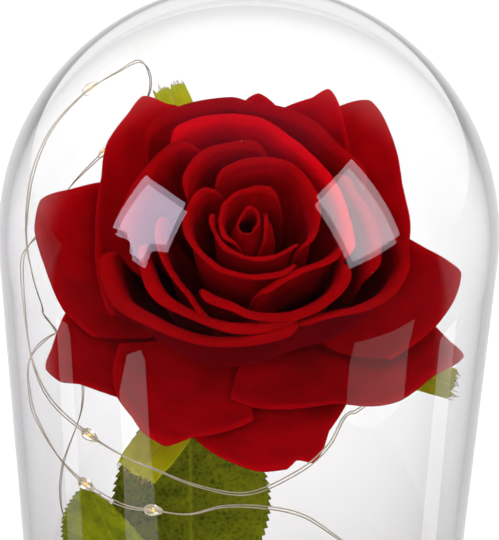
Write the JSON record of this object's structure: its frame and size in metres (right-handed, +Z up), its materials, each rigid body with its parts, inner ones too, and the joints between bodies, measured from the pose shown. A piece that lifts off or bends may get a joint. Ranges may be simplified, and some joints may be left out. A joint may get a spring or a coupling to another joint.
{
  "type": "rose in glass dome",
  "caption": "Red velvet rose on a stem with leaves, sepals and a thin light string, under a clear glass dome on a round turned foot.",
  "frame": {"origin": "middle of the foot's underside, on the surface that it stands on", "axes": "+Z up along the dome's axis; the rose bows towards -Y, which is the side that is looked at"},
  "size_m": [0.123, 0.123, 0.221],
  "materials": {
    "foot_wood": "satin varnish over a fine straight grain",
    "box_plastic": "matte black",
    "dome_glass": "clear and polished",
    "stem_green": "matte, with a wrapped look",
    "calyx_green": "matte",
    "petal_velvet": "deep red velvet with a short nap, almost black in the folds",
    "bud_velvet": "deep red velvet with a short nap",
    "sepal_cloth": "yellow-green woven cloth with frayed ends",
    "leaf_cloth": "dark green stiffened cloth with paler pressed veins",
    "stalk_green": "matte",
    "string_wire": "thin lacquered wire, champagne grey"
  },
  "bodies": {
    "root": {"base": "foot_wood", "battery_box": "box_plastic", "glass_dome": "dome_glass", "stem": "stem_green", "calyx": "calyx_green", "bud": "bud_velvet", "petal_heart": "petal_velvet", "petal_collar": "petal_velvet", "petal_cowl": "petal_velvet", "petal_crescent": "petal_velvet", "petal_hood": "petal_velvet", "petal_chin": "petal_velvet", "petal_cheek": "petal_velvet", "petal_lip": "petal_velvet", "petal_crest": "petal_velvet", "petal_brow": "petal_velvet", "petal_jaw": "petal_velvet", "petal_right": "petal_velvet", "petal_back": "petal_velvet", "petal_front_left": "petal_velvet", "petal_front_right": "petal_velvet", "outer_petal_1": "petal_velvet", "outer_petal_2": "petal_velvet", "outer_petal_3": "petal_velvet", "outer_petal_4": "petal_velvet", "outer_petal_5": "petal_velvet", "outer_petal_6": "petal_velvet", "outer_petal_7": "petal_velvet", "outer_petal_8": "petal_velvet", "outer_petal_9": "petal_velvet", "outer_petal_10": "petal_velvet", "sepal_1": "sepal_cloth", "sepal_2": "sepal_cloth", "sepal_3": "sepal_cloth", "sepal_4": "sepal_cloth", "sepal_5": "sepal_cloth", "leaf_1": "leaf_cloth", "leaf_2": "leaf_cloth", "leaf_stalk_1": "stalk_green", "leaf_stalk_2": "stalk_green", "light_string": "string_wire"}
  },
  "joints": []
}
